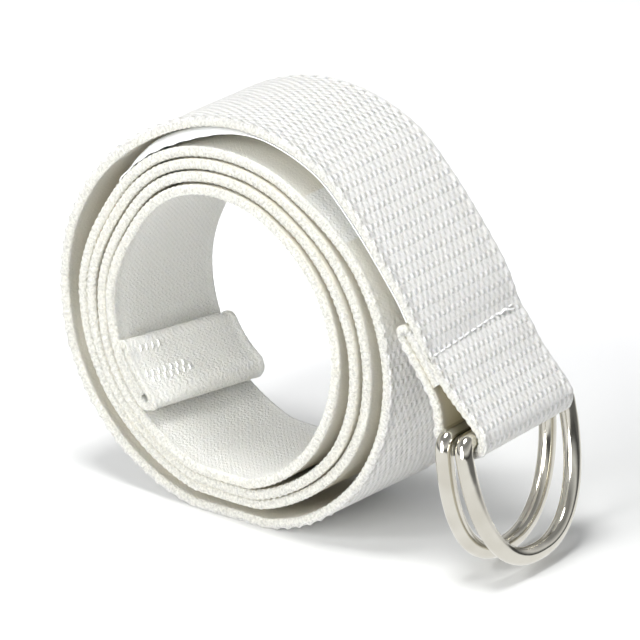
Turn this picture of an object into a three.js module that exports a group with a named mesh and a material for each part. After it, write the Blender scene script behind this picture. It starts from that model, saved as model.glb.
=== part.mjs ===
// A webbing belt rolled into a coil, with two D-rings sewn into the loop at its outer end.
// Millimetres, +Z up. The coil's axis lies along Y and the rings hang at +X.
import * as THREE from 'three';
import { mergeVertices } from 'three/addons/utils/BufferGeometryUtils.js';

// The webbing
const webWidth = 38;
const webThickness = 2.2;
const selvage = 0.4;
const layerGap = 0.3;

// The coil, measured from its axis to the middle of the webbing
const coilRadius = 50;
const footPress = 0.9;
const lapDrift = 1.05;
const lapSwayDepth = 0.62;

// The D-rings, of round wire
const wire = 4.3;
const ringDrop = 33;
const bowFullness = 2.3;
const ringCorner = 3.2;
const ringSideGap = 0.6;
const barGap = 1.2;
const barClearance = 0.3;
const frontLean = 12;
const backLean = 5;

// The sewn end that holds the rings. Its far side lies further in than its near side, by farSideInset at
// the bars, and this fades out between the two directions, in degrees from +X.
const turnedEnd = 14;
const farSideInset = 2.6;
const slewFrom = 18;
const slewFull = -14;

// The double-turned hem at the inner end
const hemLength = 12;
const hemTurn = 1666.5;
const hemSkew = 6.5;

// The thin band between the outermost lap and the next
const linerWidth = 30;
const linerThickness = 0.6;
const linerInset = 0.4;

// A row for each direction round the coil, in degrees from +X. Reach is the outermost lap, as a share
// of coilRadius; gap2 to gap5 are the gaps outside the laps further in, as shares of webThickness.
const lapTable = [
  { direction: 60, reach: 1.024, gap2: 3.20, gap3: 0.22, gap4: 0.18, gap5: 0.20 },
  { direction: 90, reach: 1.008, gap2: 2.67, gap3: 0.22, gap4: 0.27, gap5: 0.27 },
  { direction: 120, reach: 0.978, gap2: 1.64, gap3: 0.31, gap4: 0.31, gap5: 0.40 },
  { direction: 150, reach: 1.000, gap2: 2.30, gap3: 0.27, gap4: 0.49, gap5: 0.36 },
  { direction: 180, reach: 1.020, gap2: 1.76, gap3: 0.31, gap4: 0.57, gap5: 0.44 },
  { direction: 210, reach: 1.023, gap2: 1.92, gap3: 0.22, gap4: 0.36, gap5: 0.40 },
  { direction: 240, reach: 0.990, gap2: 1.52, gap3: 0.36, gap4: 0.31, gap5: 0.40 },
  { direction: 270, reach: 0.966, gap2: 1.14, gap3: 0.22, gap4: 0.30, gap5: 0.40 },
  { direction: 300, reach: 0.976, gap2: 1.70, gap3: 0.22, gap4: 0.60, gap5: 0.40 },
  { direction: 330, reach: 0.968, gap2: 1.41, gap3: 0.20, gap4: 1.20, gap5: 0.40 },
  { direction: 360, reach: 0.932, gap2: 1.01, gap3: 0.20, gap4: 0.84, gap5: 0.40 },
  { direction: 390, reach: 0.888, gap2: 0.62, gap3: 0.22, gap4: 0.40, gap5: 0.40 },
];

// The strand that leaves the coil for the rings, as shares of coilRadius out and up from the axis.
// The last two rows bound the straight stretch where the turned end is sewn to it.
const strandTable = [
  { out: 0.746, up: 0.672 },
  { out: 0.978, up: 0.390 },
  { out: 1.076, up: 0.240 },
  { out: 1.242, up: 0.012 },
];
const frontBar = { out: 1.396, up: -0.240 };

// The band's lean from the outermost lap, 0, to the next, 1, at its near edge
const linerTable = [
  { direction: 14, lean: 0 },
  { direction: 40, lean: 0 },
  { direction: 70, lean: 0 },
  { direction: 85, lean: 0.10 },
  { direction: 100, lean: 0.50 },
  { direction: 112, lean: 0.90 },
  { direction: 122, lean: 1 },
  { direction: 140, lean: 1 },
];

const cloth = new THREE.MeshStandardMaterial({ color: 0xf1f1ee, roughness: 0.85, metalness: 0 });
const nickel = new THREE.MeshStandardMaterial({ color: 0xc9c4b6, roughness: 0.18, metalness: 1 });
const film = new THREE.MeshStandardMaterial({ color: 0xf4f4f0, roughness: 0.45, metalness: 0 });

const pitch = webThickness + layerGap;
const degrees = Math.PI / 180;
const lapStart = lapTable[0].direction;
const lapStep = lapTable[1].direction - lapTable[0].direction;
const oneTurn = 360;
const spiralStep = 7.5;
const strandPoints = 26;

// A smooth curve through evenly spaced values
function smooth(values, position) {
  const last = values.length - 1;
  const place = Math.min(Math.max(position, 0), last);
  const index = Math.min(Math.floor(place), last - 1);
  const before = values[Math.max(index - 1, 0)];
  const after = values[Math.min(index + 2, last)];
  const t = place - index;
  const a = values[index];
  const b = values[index + 1];
  const slopeA = (b - before) / 2;
  const slopeB = (after - a) / 2;
  const t2 = t * t;
  const t3 = t2 * t;
  return (2 * t3 - 3 * t2 + 1) * a + (t3 - 2 * t2 + t) * slopeA + (3 * t2 - 2 * t3) * b + (t3 - t2) * slopeB;
}

const gaps = ['gap2', 'gap3', 'gap4', 'gap5'].flatMap((lap) => lapTable.map((row) => row[lap]));
const outermost = lapTable.map((row) => row.reach * coilRadius);
for (let i = 0; i < 2; i += 1) {
  outermost.push(outermost[i] - webThickness * (1 + gaps[i]));
}
const footRow = lapTable.find((row) => row.direction === 270);
const footDrop = footRow.reach * coilRadius - footPress;

// Radius of the webbing's middle at an angle counted on from the ring end. The outermost lap is flat
// where it stands; each lap further in lies inside the one before it.
function lapRadius(angle) {
  if (angle <= lapStart + oneTurn) {
    const free = smooth(outermost, (angle - lapStart) / lapStep);
    const depth = -Math.sin(angle * degrees);
    return depth > 0.5 ? Math.min(free, footDrop / depth) : free;
  }
  const gap = smooth(gaps, (angle - oneTurn - lapStart) / lapStep);
  return lapRadius(angle - oneTurn) - webThickness * (1 + gap);
}

// Share of farSideInset that applies in a direction from the axis
function slew(direction) {
  return 1 - THREE.MathUtils.smoothstep(direction, slewFull, slewFrom);
}

// The laps stand forward of each other towards -Y, most at +X
function lapShift(angle) {
  const turned = Math.max(angle, 0) / oneTurn;
  return -turned * (lapDrift + lapSwayDepth * Math.cos(angle * degrees));
}

function polar(radius, angle) {
  return new THREE.Vector2(radius * Math.cos(angle * degrees), radius * Math.sin(angle * degrees));
}

// Points on an arc, from one angle to another, both ends included
function arc(centre, radius, from, to, steps) {
  return Array.from({ length: steps + 1 }, (_, i) => {
    return polar(radius, from + ((to - from) * i) / steps).add(centre);
  });
}

// The ring end: turned end, sewn stretch, loop round both bars, and the strand up to the coil
const bars = {
  front: new THREE.Vector2(frontBar.out, frontBar.up).multiplyScalar(coilRadius),
};
bars.back = new THREE.Vector2(bars.front.x - wire - barGap, bars.front.y);

const strandRows = strandTable.map((row) => new THREE.Vector2(row.out, row.up).multiplyScalar(coilRadius));
const sewnLow = strandRows[strandRows.length - 1];
const sewnRun = strandRows[strandRows.length - 2].clone().sub(sewnLow).normalize();
const barLoop = wire / 2 + barClearance + webThickness / 2;

// The outer strand, from the low end of the sewn stretch up to the coil
function outerStrand() {
  const curve = new THREE.SplineCurve([
    sewnLow,
    ...strandRows.slice(0, -1).reverse(),
    polar(lapRadius(lapStart), lapStart),
    polar(lapRadius(lapStart + lapStep / 2), lapStart + lapStep / 2),
  ]);
  return curve.getSpacedPoints(strandPoints).filter((p) => Math.atan2(p.y, p.x) / degrees < lapStart - spiralStep / 2);
}

function ringEnd() {
  const inward = new THREE.Vector2(-sewnRun.y, sewnRun.x);
  const sewnHigh = sewnLow.clone().addScaledVector(sewnRun, turnedEnd);
  const layer = (base, count) => base.clone().addScaledVector(inward, count * pitch);
  const turn = inward.angle() / degrees;
  const fold = arc(layer(sewnHigh, 1.5), pitch / 2, turn + 180, turn + 360, 8).reverse();
  const sideOfBack = bars.back.clone().add(new THREE.Vector2(-barLoop, 0));
  const rise = new THREE.CubicBezierCurve(
    layer(sewnLow, 2),
    layer(sewnLow, 2).addScaledVector(sewnRun, -barLoop),
    sideOfBack.clone().add(new THREE.Vector2(0, barLoop)),
    sideOfBack,
  ).getPoints(6);
  const leave = 40;
  const offFront = polar(barLoop, leave).add(bars.front);
  const strand = new THREE.CubicBezierCurve(
    offFront,
    polar(barLoop, leave + 90).add(offFront),
    sewnLow.clone().addScaledVector(sewnRun, -barLoop),
    sewnLow,
  ).getPoints(6);
  const turnedIn = [0, 1, 2, 3].map((i) => layer(sewnLow, 1).addScaledVector(sewnRun, (turnedEnd * i) / 4));
  const foldedBack = [1, 2, 3].map((i) => layer(sewnHigh, 2).addScaledVector(sewnRun, (-turnedEnd * i) / 4));
  return [
    ...turnedIn,
    ...fold,
    ...foldedBack,
    ...rise,
    ...arc(bars.back, barLoop, 180, 270, 6).slice(1),
    ...arc(bars.front, barLoop, -90, leave, 8),
    ...strand.slice(1),
    ...outerStrand().slice(1),
  ].map((at) => {
    const direction = Math.atan2(at.y, at.x) / degrees;
    return { at, angle: Math.max(direction, 0), skew: 0, slew: slew(direction) };
  });
}

// The coil itself
function coil() {
  const count = Math.floor((hemTurn - lapStart) / spiralStep);
  return Array.from({ length: count + 1 }, (_, i) => {
    const angle = lapStart + (i * (hemTurn - lapStart)) / count;
    const skew = THREE.MathUtils.smoothstep(angle, hemTurn - 90, hemTurn - 30);
    return { at: polar(lapRadius(angle), angle), angle, skew, slew: 0 };
  });
}

// The hem: the end is turned back inside the coil, and its raw edge is turned in under that
function hem() {
  const wall = lapRadius(hemTurn);
  const sweep = hemLength / (wall - pitch) / degrees;
  const along = (lap, from, to, steps) => Array.from({ length: steps + 1 }, (_, i) => {
    const angle = from + ((to - from) * i) / steps;
    return polar(lapRadius(angle) - lap * pitch, angle);
  });
  const firstTurn = arc(polar(wall - pitch, hemTurn), pitch, hemTurn, hemTurn + 180, 10).slice(1, -1);
  const topAngle = hemTurn - sweep;
  const topWall = lapRadius(topAngle);
  const secondTurn = arc(polar(topWall - 1.5 * pitch, topAngle), pitch / 2, topAngle + 180, topAngle + 360, 8);
  return [
    ...firstTurn,
    ...along(2, hemTurn, topAngle, 4).slice(0, -1),
    ...secondTurn,
    ...along(1, topAngle, hemTurn - 1, 4).slice(1),
  ].map((at) => ({ at, angle: hemTurn, skew: 1, slew: 0 }));
}

// A box bent along a row of stations: its length runs along them, its height across the webbing's
// width and its depth through the thickness. Corners are mitred so that parallel faces stay parallel.
function bend(stations, place, acrossSteps) {
  const box = new THREE.BoxGeometry(1, 1, 1, stations.length - 1, acrossSteps, 1);
  box.deleteAttribute('normal');
  box.deleteAttribute('uv');
  const position = box.attributes.position;
  for (let i = 0; i < position.count; i += 1) {
    const station = Math.round((position.getX(i) + 0.5) * (stations.length - 1));
    const point = place(stations[station], station, position.getY(i) + 0.5, position.getZ(i));
    position.setXYZ(i, point.x, point.y, point.z);
  }
  const solid = mergeVertices(box, 1e-4);
  solid.computeVertexNormals();
  return solid;
}

function mitre(points, i) {
  const here = points[i];
  const into = here.clone().sub(points[Math.max(i - 1, 0)]).normalize();
  const out = points[Math.min(i + 1, points.length - 1)].clone().sub(here).normalize();
  if (i === 0) {
    into.copy(out);
  }
  if (i === points.length - 1) {
    out.copy(into);
  }
  const normalIn = new THREE.Vector2(-into.y, into.x);
  const normalOut = new THREE.Vector2(-out.y, out.x);
  const normal = normalIn.clone().add(normalOut).normalize();
  return normal.divideScalar(normal.dot(normalIn));
}

function strapGeometry() {
  const stations = [...ringEnd(), ...coil(), ...hem()];
  const points = stations.map((station) => station.at);
  const normals = points.map((_, i) => mitre(points, i));
  const across = [0, selvage, webWidth - selvage, webWidth];
  return bend(stations, (station, i, v, depth) => {
    const edge = Math.round(v * 3);
    const half = webThickness - (edge === 0 || edge === 3 ? selvage : 0);
    const flat = station.at.clone().addScaledVector(normals[i], depth * half);
    const skew = station.skew * hemSkew * (across[edge] / webWidth - 0.5) * degrees;
    flat.rotateAround(new THREE.Vector2(), skew);
    flat.x -= (station.slew * farSideInset * across[edge]) / webWidth;
    return new THREE.Vector3(flat.x, across[edge] + lapShift(station.angle), flat.y);
  }, 3);
}

function linerGeometry() {
  const first = linerTable[0].direction;
  const last = linerTable[linerTable.length - 1].direction;
  const count = 34;
  const rows = linerTable.map((row) => new THREE.Vector2(row.direction, row.lean));
  const leanAt = (direction) => {
    const next = Math.max(rows.findIndex((row) => row.x >= direction), 1);
    const a = rows[next - 1];
    const b = rows[next];
    return THREE.MathUtils.lerp(a.y, b.y, THREE.MathUtils.smoothstep(direction, a.x, b.x));
  };
  const outer = [...outerStrand(), polar(lapRadius(lapStart), lapStart)];
  const outerAt = (direction) => {
    if (direction >= lapStart) {
      return lapRadius(direction);
    }
    const next = Math.max(outer.findIndex((p) => Math.atan2(p.y, p.x) / degrees >= direction), 1);
    const [from, to] = [outer[next - 1], outer[next]];
    const [low, high] = [from, to].map((p) => Math.atan2(p.y, p.x) / degrees);
    return THREE.MathUtils.lerp(from.length(), to.length(), (direction - low) / (high - low));
  };
  const seat = webThickness / 2 + layerGap + linerThickness / 2;
  const stations = Array.from({ length: count + 1 }, (_, i) => {
    const direction = last + ((first - last) * i) / count;
    const top = outerAt(direction) - seat;
    const bottom = lapRadius(direction + oneTurn) + seat;
    return { direction, top, bottom, lean: leanAt(direction) };
  });
  return bend(stations, (station, i, v, depth) => {
    const droop = station.lean * (1 - v) ** 2;
    const radius = THREE.MathUtils.lerp(station.top, station.bottom, droop) + depth * linerThickness;
    const flat = polar(radius, station.direction);
    const y = linerInset + v * linerWidth;
    return new THREE.Vector3(flat.x - (slew(station.direction) * farSideInset * y) / webWidth, y, flat.y);
  }, 4);
}

// A D-ring in the YZ plane: a straight bar along the top, tight corners and a deep round bow
function ringStations() {
  const half = webWidth / 2 + ringSideGap + wire / 2;
  const bar = 3;
  const corner = 6;
  const bow = 32;
  const sideDrop = ringDrop - ringCorner;
  const points = [];
  for (let i = 0; i < bar; i += 1) {
    points.push(new THREE.Vector2(THREE.MathUtils.lerp(-half + ringCorner, half - ringCorner, i / bar), 0));
  }
  const right = new THREE.Vector2(half - ringCorner, -ringCorner);
  points.push(...arc(right, ringCorner, 90, 0, corner));
  const full = (share) => Math.sign(share) * Math.abs(share) ** (2 / bowFullness);
  for (let i = 1; i < bow; i += 1) {
    const angle = (-180 * i * degrees) / bow;
    points.push(new THREE.Vector2(half * full(Math.cos(angle)), sideDrop * full(Math.sin(angle)) - ringCorner));
  }
  const left = new THREE.Vector2(-half + ringCorner, -ringCorner);
  points.push(...arc(left, ringCorner, 180, 90, corner).slice(0, -1));
  return points;
}

function ringGeometry() {
  const points = ringStations();
  const sides = 12;
  const torus = new THREE.TorusGeometry(1, 0.5, sides, points.length);
  const uv = torus.attributes.uv;
  const position = torus.attributes.position;
  for (let i = 0; i < position.count; i += 1) {
    const index = Math.round(uv.getX(i) * points.length) % points.length;
    const turn = uv.getY(i) * 2 * Math.PI;
    const before = points[(index + points.length - 1) % points.length];
    const after = points[(index + 1) % points.length];
    const tangent = after.clone().sub(before).normalize();
    const outward = new THREE.Vector2(-tangent.y, tangent.x);
    const at = points[index].clone().addScaledVector(outward, (Math.cos(turn) * wire) / 2);
    position.setXYZ(i, (-Math.sin(turn) * wire) / 2, at.x, at.y);
  }
  torus.deleteAttribute('normal');
  torus.deleteAttribute('uv');
  const solid = mergeVertices(torus, 1e-4);
  solid.computeVertexNormals();
  return solid;
}

function mesh(name, geometry, material) {
  const part = new THREE.Mesh(geometry, material);
  part.name = name;
  return part;
}

const belt = new THREE.Group();
belt.add(mesh('strap', strapGeometry(), cloth));
belt.add(mesh('liner_strip', linerGeometry(), film));
for (const [side, lean] of [['front', frontLean], ['back', backLean]]) {
  const ring = mesh(`ring_${side}`, ringGeometry(), nickel);
  ring.position.set(bars[side].x - farSideInset / 2, webWidth / 2, bars[side].y);
  ring.rotation.set(0, -lean * degrees, Math.atan2(farSideInset, webWidth), 'ZYX');
  belt.add(ring);
}

// The origin is the middle of the belt's box, on the surface that it stands on
belt.updateMatrixWorld(true);
const extent = new THREE.Box3().setFromObject(belt, true);
const middle = extent.getCenter(new THREE.Vector3());
belt.position.set(-middle.x, -middle.y, -extent.min.z);

export default belt;
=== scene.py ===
# White webbing belt rolled into a coil, with two D-rings in its sewn end. Metres, Z up.
import bpy
import numpy as np
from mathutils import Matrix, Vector


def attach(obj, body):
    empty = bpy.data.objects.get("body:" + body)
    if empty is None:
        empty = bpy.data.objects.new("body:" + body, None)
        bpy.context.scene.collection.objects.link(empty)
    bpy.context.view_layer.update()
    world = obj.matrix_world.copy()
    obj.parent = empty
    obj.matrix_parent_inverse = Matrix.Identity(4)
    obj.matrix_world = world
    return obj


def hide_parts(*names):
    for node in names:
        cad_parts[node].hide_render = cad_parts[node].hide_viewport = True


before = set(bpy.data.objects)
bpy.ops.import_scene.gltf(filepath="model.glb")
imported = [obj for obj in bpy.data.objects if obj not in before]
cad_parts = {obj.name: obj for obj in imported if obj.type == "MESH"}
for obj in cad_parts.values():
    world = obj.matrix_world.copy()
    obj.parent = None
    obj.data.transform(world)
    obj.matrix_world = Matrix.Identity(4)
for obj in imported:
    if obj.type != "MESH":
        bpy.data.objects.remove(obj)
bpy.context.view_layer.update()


# The camera stands where the photograph was taken from, with a long lens
shot = {
    "azimuth": 38.0,
    "elevation": 21.0,
    "lookAt": (-0.00141, 0.0009, 0.04695),
    "distance": 2.4,
    "frameWidth": 0.1506,  # metres across the picture at lookAt
    "sensor": 36,
}


def unitBack(azimuth, elevation):
    # direction from the object to a viewer: azimuth turned from -Y towards +X, elevation above the floor
    a, e = np.radians([azimuth, elevation])
    return Vector((np.sin(a) * np.cos(e), -np.cos(a) * np.cos(e), np.sin(e)))


def makeCamera():
    # stands at lookAt plus distance times the direction back, and looks against that direction; the focal length
    # is the sensor's width times distance over frameWidth
    back = unitBack(shot["azimuth"], shot["elevation"])
    data = bpy.data.cameras.new("camera")
    data.sensor_width = shot["sensor"]
    data.lens = shot["sensor"] * shot["distance"] / shot["frameWidth"]
    data.clip_start, data.clip_end = 0.01, 50
    camera = bpy.data.objects.new("camera", data)
    bpy.context.scene.collection.objects.link(camera)
    camera.location = Vector(shot["lookAt"]) + back * shot["distance"]
    camera.rotation_euler = (-back).to_track_quat("-Z", "Y").to_euler()
    bpy.context.scene.camera = camera


makeCamera()
print("camera placed")


# Mesh helpers
def newPiece(name, vertices, faces, body, material):
    # a smooth mesh of points and faces that moves with its body and has its slot's finish
    mesh = bpy.data.meshes.new(name)
    mesh.from_pydata(vertices.tolist(), [], faces)
    mesh.polygons.foreach_set("use_smooth", np.ones(len(faces), bool))
    mesh.materials.append(material)
    mesh.update()
    piece = bpy.data.objects.new(name, mesh)
    bpy.context.scene.collection.objects.link(piece)
    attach(piece, body)
    return piece


def gridFaces(rows, columns, roundColumns=True, roundRows=False):
    # quads between neighbouring rows and columns of a grid, wrapped where a direction is closed
    i = np.arange(rows if roundRows else rows - 1)[:, None]
    j = np.arange(columns if roundColumns else columns - 1)[None, :]
    nextI, nextJ = (i + 1) % rows, (j + 1) % columns
    quads = np.stack([i * columns + j, nextI * columns + j, nextI * columns + nextJ, i * columns + nextJ], -1)
    return quads.reshape(-1, 4)


def outwardFaces(vertices, quads):
    # the signed volume of a closed shell is positive when its faces point out; else each face is turned over
    a, b, c, d = (vertices[quads[:, k]] for k in range(4))
    volume = np.einsum("ij,ij->", a, np.cross(b, c)) + np.einsum("ij,ij->", a, np.cross(c, d))
    return quads if volume > 0 else quads[:, ::-1]


def endCaps(quads, rows, columns):
    # a face over each end of a tube: its first row turned round and its last as it is, or the other way about
    # where outwardFaces has turned the quads over
    first, last = list(range(columns)), list(range((rows - 1) * columns, rows * columns))
    return [first[::-1], last] if quads[0, 0] == 0 else [first, last[::-1]]


def writeNumbers(piece, name, values):
    # one number for each vertex, which a material reads by its name
    layer = piece.data.attributes.new(name, "FLOAT", "POINT")
    layer.data.foreach_set("value", np.ascontiguousarray(values, np.float32).ravel())


def writeUv(piece, name, values):
    # a pair for each corner of each face, in the order of the faces
    layer = piece.data.uv_layers.new(name=name)
    layer.data.foreach_set("uv", np.ascontiguousarray(values, np.float32).ravel())


# The rolled webbing. Directions are in degrees about the coil's axis, from +X towards +Z, and go on counting from
# lap to lap. Shares are of coilRadius, or of webThickness for the gaps.
belt = {
    "axisX": -0.0128066,
    "edgeY": -0.0180990,  # the webbing's near edge
    "axisZ": 0.0485,
    "webWidth": 0.038,
    "webThickness": 0.0022,
    "layerGap": 0.0003,
    "coilRadius": 0.050,
    "footDrop": 0.0474,  # from the axis to the middle of the webbing that is pressed flat at the foot
    "lapDrift": 0.00105,  # each lap stands forward of the one outside it
    "lapLean": 0.00062,
    "farSideIn": 0.0026,  # the ring end turns in by this at its far edge
    "slewFrom": 18,
    "slewFull": -14,
    "turnedEnd": 0.014,
    "hemLength": 0.012,
    "hemTurn": 1666.5,  # the direction where the webbing turns back for its hem
    "hemSkew": 6.5,
    "hemSkewLead": (90, 30),  # degrees before hemTurn in which the skew grows
    "hemPress": 0.5,  # the hem is sewn flat near its near side, from hemPressLead before its fold
    "hemPressReach": (0.001, 0.024),
    "hemPressLead": 0.002,
    "wire": 0.0043,
    "barGap": 0.0012,
    "barClearance": 0.0003,
    "frontBar": (1.396, -0.240),
    "pathStep": 0.6,
}
# radius of the outermost lap, and the gaps outside the others, every lapStep degrees from lapStart
lapStart, lapStep = 60, 30
reach = [1.024, 1.008, 0.978, 1.000, 1.020, 1.023, 0.990, 0.966, 0.976, 0.968, 0.932, 0.888]
lapGaps = {
    "second": [3.20, 2.67, 1.64, 2.30, 1.76, 1.92, 1.52, 1.14, 1.70, 1.41, 1.01, 0.62],
    "third": [0.22, 0.22, 0.31, 0.27, 0.31, 0.22, 0.36, 0.22, 0.22, 0.20, 0.20, 0.22],
    "fourth": [0.18, 0.27, 0.31, 0.49, 0.57, 0.36, 0.31, 0.30, 0.60, 1.20, 0.84, 0.40],
    "fifth": [0.20, 0.27, 0.40, 0.36, 0.44, 0.40, 0.40, 0.40, 0.40, 0.40, 0.40, 0.40],
}
# from the sewn stretch's lower end up, the last rows of the strand that runs off the coil to the rings
strandRows = np.array([(0.746, 0.672), (0.978, 0.390), (1.076, 0.240), (1.242, 0.012)]) * belt["coilRadius"]
gapShares = np.concatenate([lapGaps[lap] for lap in ("second", "third", "fourth", "fifth")])
outermost = np.array(reach) * belt["coilRadius"]
outermost = np.append(outermost, outermost[:2] - belt["webThickness"] * (1 + gapShares[:2]))


def smoothStep(value, low, high):
    # 0 below low, 1 above high, and the cubic 3t^2 - 2t^3 between
    t = np.clip((value - low) / (high - low), 0, 1)
    return t * t * (3 - 2 * t)


def smoothThrough(values, position):
    # cubic through evenly spaced values, each slope half the difference of its neighbours
    last = len(values) - 1
    place = np.clip(position, 0, last)
    i = np.minimum(place.astype(int), last - 1)
    t = (place - i).reshape(place.shape + (1,) * (values.ndim - 1))
    a, b = values[i], values[i + 1]
    slopeA = (b - values[np.maximum(i - 1, 0)]) / 2
    slopeB = (values[np.minimum(i + 2, last)] - a) / 2
    start = (2 * t**3 - 3 * t**2 + 1) * a + (t**3 - 2 * t**2 + t) * slopeA
    return start + (3 * t**2 - 2 * t**3) * b + (t**3 - t**2) * slopeB


def lapRadius(angle):
    # radius of the webbing's middle: the outermost lap, flat at the foot, less a thickness and a gap per lap
    angle = np.asarray(angle, float)
    inner = np.clip(np.ceil((angle - lapStart - 360) / 360), 0, None)
    first = angle - 360 * inner
    radius = smoothThrough(outermost, (first - lapStart) / lapStep)
    depth = -np.sin(np.radians(first))
    radius = np.where(depth > 0.5, np.minimum(radius, belt["footDrop"] / np.maximum(depth, 0.5)), radius)
    for lap in range(4):
        outer = angle - 360 * lap
        gap = smoothThrough(gapShares, (outer - 360 - lapStart) / lapStep)
        radius = radius - np.where(outer > lapStart + 360, belt["webThickness"] * (1 + gap), 0)
    return radius


def polar(radius, angle):
    # the radius times the cosine and the sine of the angle
    turn = np.radians(angle)
    return np.stack([radius * np.cos(turn), radius * np.sin(turn)], -1)


def arc(centre, radius, start, stop, count):
    # a circle's points about its centre, at even angles from start to stop
    return np.asarray(centre) + polar(radius, np.linspace(start, stop, count))


def bezier(a, b, c, d, count):
    # cubic with end points a and d, and handles b and c
    t = np.linspace(0, 1, count)[:, None]
    return (1 - t) ** 3 * a + 3 * (1 - t) ** 2 * t * b + 3 * (1 - t) * t * t * c + t**3 * d


def lapShift(angle):
    # how far a lap stands forward, more for each turn inwards and most at +X
    turned = np.maximum(angle, 0) / 360
    return -turned * (belt["lapDrift"] + belt["lapLean"] * np.cos(np.radians(angle)))


pitch = belt["webThickness"] + belt["layerGap"]
barFront = np.array(belt["frontBar"]) * belt["coilRadius"]
barBack = barFront - [belt["wire"] + belt["barGap"], 0]
barLoop = belt["wire"] / 2 + belt["barClearance"] + belt["webThickness"] / 2
sewnLow = strandRows[3]
sewnRun = (strandRows[2] - sewnLow) / np.linalg.norm(strandRows[2] - sewnLow)
sewnSide = np.array([-sewnRun[1], sewnRun[0]])


def outerStrand():
    # a cubic through the strand's rows, from the sewn stretch up to the coil
    top = polar(lapRadius(np.array([60.0, 75.0])), np.array([60.0, 75.0]))
    rows = np.vstack([strandRows[::-1], top])
    return smoothThrough(rows, np.linspace(0, 4, 160)[:-1])


def ringEndPath():
    # the turned end doubled under the sewn stretch, half a circle at its fold; then down, a circle's arc under each
    # bar at wire radius, clearance and half a thickness, cubics between them, and up the strand
    high = sewnLow + sewnRun * belt["turnedEnd"]
    layer = lambda base, count: base + sewnSide * count * pitch
    turn = np.degrees(np.arctan2(sewnSide[1], sewnSide[0]))
    tuck = layer(sewnLow, 1) + sewnRun * np.linspace(0, belt["turnedEnd"], 30)[:, None]
    fold = arc(layer(high, 1.5), pitch / 2, turn + 180, turn + 360, 24)[::-1]
    back = layer(high, 2) - sewnRun * np.linspace(0, belt["turnedEnd"], 30)[:, None]
    side = barBack - [barLoop, 0]
    rise = bezier(layer(sewnLow, 2), layer(sewnLow, 2) - sewnRun * barLoop, side + [0, barLoop], side, 16)
    leave = barFront + polar(barLoop, 40.0)
    up = bezier(leave, leave + polar(barLoop, 130.0), sewnLow - sewnRun * barLoop, sewnLow, 16)
    return np.vstack([
        tuck, fold[1:-1], back, rise[1:-1], arc(barBack, barLoop, 180, 270, 16),
        arc(barFront, barLoop, -90, 40, 24), up[1:-1], outerStrand(),
    ])


def hemPath():
    # the end turns in on a pitch, runs back, and its raw edge turns under
    turn = belt["hemTurn"]
    wall = lapRadius(turn)
    sweep = np.degrees(belt["hemLength"] / (wall - pitch))
    top = turn - sweep
    first = arc(polar(wall - pitch, turn), pitch, turn, turn + 180, 40)
    back = np.linspace(turn, top, 30)
    under = np.linspace(top, turn - 1, 30)
    second = arc(polar(lapRadius(top) - 1.5 * pitch, top), pitch / 2, top + 180, top + 360, 24)
    return np.vstack([
        first[1:-1], polar(lapRadius(back) - 2 * pitch, back), second[1:-1], polar(lapRadius(under) - pitch, under),
    ])


def beltPath():
    # the whole centre line in the XZ plane with, at each point, the lap angle, the slew and the hem's skew
    ring, hem = ringEndPath(), hemPath()
    coilAngle = np.arange(lapStart, belt["hemTurn"], belt["pathStep"])
    coil = polar(lapRadius(coilAngle), coilAngle)
    ringAngle = np.degrees(np.arctan2(ring[:, 1], ring[:, 0]))
    points = np.vstack([ring, coil, hem])
    angle = np.concatenate([np.maximum(ringAngle, 0), coilAngle, np.full(len(hem), belt["hemTurn"])])
    slew = np.zeros(len(points))
    slew[: len(ring)] = 1 - smoothStep(ringAngle, belt["slewFull"], belt["slewFrom"])
    skew = smoothStep(angle, *(belt["hemTurn"] - lead for lead in belt["hemSkewLead"]))
    step = np.linalg.norm(np.diff(points, axis=0), axis=1)
    along = np.concatenate([[0], np.cumsum(step)])
    return {"points": points, "along": along, "angle": angle, "slew": slew, "skew": skew,
            "coilStart": along[len(ring)], "hemStart": along[len(ring) + len(coil) - 1]}


path = beltPath()
webLength = path["along"][-1]
print("webbing is", round(webLength, 3), "m long")


def onPath(name, along):
    # a row of the path read between its points by distance along it
    return np.interp(along, path["along"], path[name])


# unit normals to the centre line, on the left of its run
slope = np.gradient(path["points"], path["along"], axis=0)
slope /= np.linalg.norm(slope, axis=1)[:, None]
path["x"], path["z"] = path["points"].T
path["normalX"], path["normalZ"] = -slope[:, 1], slope[:, 0]


def placeOnBelt(along, across, depth):
    # centre line plus depth times its normal; the hem is then pressed flat towards its near side, skewed about the
    # coil's axis, and the ring end slewed; arrays of one shape
    x = onPath("x", along) + onPath("normalX", along) * depth
    z = onPath("z", along) + onPath("normalZ", along) * depth
    away = np.hypot(x, z)
    wall = lapRadius(np.clip(onPath("angle", along), lapStart, belt["hemTurn"])) - belt["webThickness"] / 2
    pressed = belt["hemPress"] + (1 - belt["hemPress"]) * smoothStep(across, *belt["hemPressReach"])
    inHem = along > path["hemStart"] - belt["hemPressLead"]
    squashed = np.where(inHem & (away < wall), wall - (wall - away) * pressed, away)
    x, z = x * squashed / away, z * squashed / away
    skew = np.radians(onPath("skew", along) * belt["hemSkew"] * (across / belt["webWidth"] - 0.5))
    x, z = x * np.cos(skew) - z * np.sin(skew), x * np.sin(skew) + z * np.cos(skew)
    x = x - onPath("slew", along) * belt["farSideIn"] * across / belt["webWidth"]
    y = across + lapShift(onPath("angle", along))
    return np.stack([x + belt["axisX"], y + belt["edgeY"], z + belt["axisZ"]], -1)


# Node helpers
def newMaterial(name):
    # a material with its node tree and its principled shader
    material = bpy.data.materials.new(name)
    material.use_nodes = True
    tree = material.node_tree
    return material, tree, tree.nodes["Principled BSDF"]


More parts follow.
